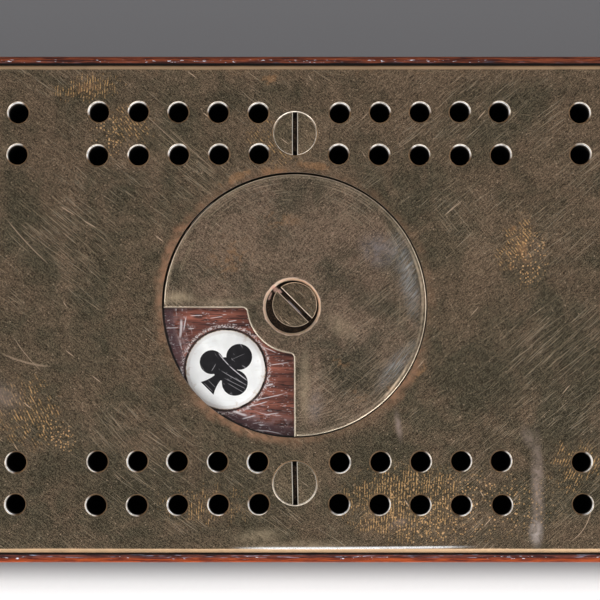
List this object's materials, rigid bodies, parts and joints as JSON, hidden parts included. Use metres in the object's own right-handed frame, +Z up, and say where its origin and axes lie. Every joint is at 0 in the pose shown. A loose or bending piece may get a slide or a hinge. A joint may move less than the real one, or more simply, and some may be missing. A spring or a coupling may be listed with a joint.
{
  "type": "cribbage box",
  "caption": "Wooden games box topped with a drilled brass scoring plate and a turning suit indicator, with a dovetailed drawer for cards and pegs.",
  "frame": {"origin": "on the resting plane, under the middle of the case (the knob is outside the case)", "axes": "+X along the box towards the drawer's knob, +Y across the box, +Z up through the plate"},
  "size_m": [0.2615, 0.08, 0.0447],
  "materials": {
    "case_wood": "waxed",
    "deck_wood": "waxed",
    "drawer_wood": "bare",
    "brass": "aged, scratched",
    "bone": "satin",
    "black_inlay": "satin",
    "red_stain": "satin",
    "baize": "felted"
  },
  "bodies": {
    "case": {"side_back": "case_wood", "side_front": "case_wood", "end_board": "case_wood", "front_rail": "case_wood", "front_sill": "case_wood", "base_board": "deck_wood", "baize": "baize", "deck_board": "deck_wood", "top_plate": "brass", "plate_screws": "brass", "pivot_screw": "brass", "roundel_club": "bone", "inlay_club": "black_inlay", "roundel_heart": "bone", "inlay_heart": "red_stain", "roundel_spade": "bone", "inlay_spade": "black_inlay", "roundel_diamond": "bone", "inlay_diamond": "red_stain"},
    "indicator": {"indicator_disc": "brass"},
    "drawer": {"drawer_front": "case_wood", "drawer_side_back": "drawer_wood", "drawer_side_front": "drawer_wood", "drawer_back": "drawer_wood", "drawer_bottom": "drawer_wood", "drawer_bottom_pins": "brass", "divider_rear": "drawer_wood", "divider_front": "drawer_wood", "knob": "brass", "knob_nut": "brass", "pegs_bone": "bone", "pegs_red": "red_stain"}
  },
  "joints": [
    {"name": "drawer_slide", "type": "slide", "parent": "case", "child": "drawer", "axis": [1, 0, 0], "range_m": [0, 0.2]},
    {"name": "indicator_turn", "type": "hinge", "parent": "case", "child": "indicator", "pos_m": [-0.0007, 0.0005, 0.0423], "axis": [0, 0, 1], "continuous": true}
  ]
}
